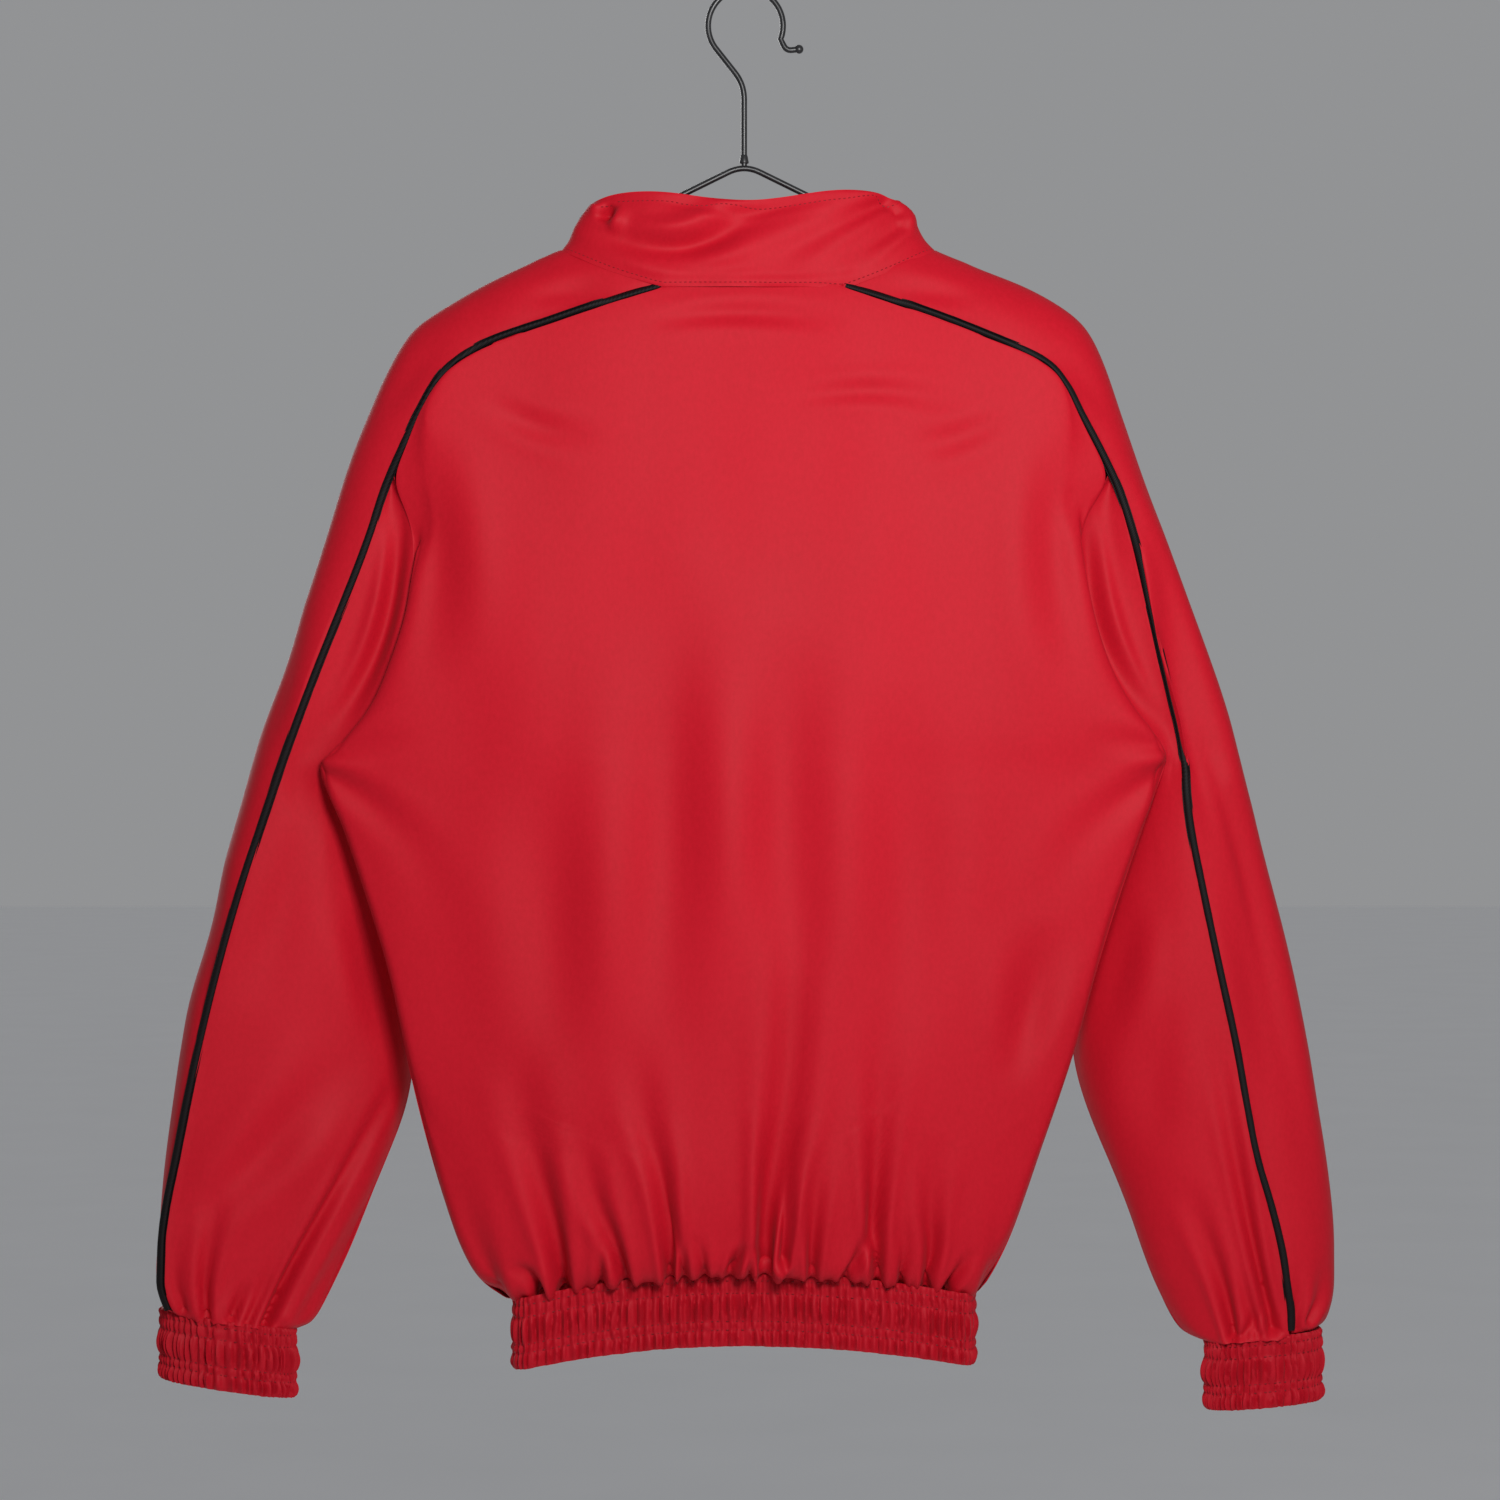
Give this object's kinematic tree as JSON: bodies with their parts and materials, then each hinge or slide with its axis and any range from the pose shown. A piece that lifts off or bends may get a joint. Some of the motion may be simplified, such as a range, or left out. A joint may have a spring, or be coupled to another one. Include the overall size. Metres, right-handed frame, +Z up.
{
  "type": "training windbreaker on wire hanger",
  "caption": "Zip-front training jacket with a stand collar, piped shoulder strips and elastic hem and cuffs, hung flat on a wire hanger.",
  "frame": {"origin": "inner top of the hanger's hook, where a rail carries it", "axes": "+Z up, wearer's front faces -Y, wearer's left is +X"},
  "size_m": [0.7874, 0.1053, 0.949],
  "materials": {
    "red_tricot": "smooth polyester tricot with a soft sheen",
    "black_piping": "plain woven piping",
    "red_zip_tape": "woven tape",
    "zip_teeth": "moulded teeth",
    "zip_metal": "satin",
    "black_wire": "black enamel over steel wire"
  },
  "bodies": {
    "jacket": {"back_panel": "red_tricot", "collar": "red_tricot", "cuff_left": "red_tricot", "cuff_right": "red_tricot", "front_panel_left": "red_tricot", "front_panel_right": "red_tricot", "hanger_frame": "black_wire", "hanger_hook": "black_wire", "hem_band": "red_tricot", "piping_back_left": "black_piping", "piping_back_right": "black_piping", "piping_front_left": "black_piping", "piping_front_right": "black_piping", "shoulder_strip_left": "red_tricot", "shoulder_strip_right": "red_tricot", "sleeve_back_left": "red_tricot", "sleeve_back_right": "red_tricot", "sleeve_front_left": "red_tricot", "sleeve_front_right": "red_tricot", "zip_box": "zip_teeth", "zip_chain": "zip_teeth", "zip_slider": "zip_metal", "zip_tape_left": "red_zip_tape", "zip_tape_right": "red_zip_tape"},
    "pull_tab": {"zip_pull_tab": "zip_metal"}
  },
  "joints": [
    {"name": "pull_tab_hinge", "type": "hinge", "parent": "jacket", "child": "pull_tab", "pos_m": [0, -0.0527, -0.193], "axis": [-1, 0, 0], "range_deg": [0, 150]}
  ]
}
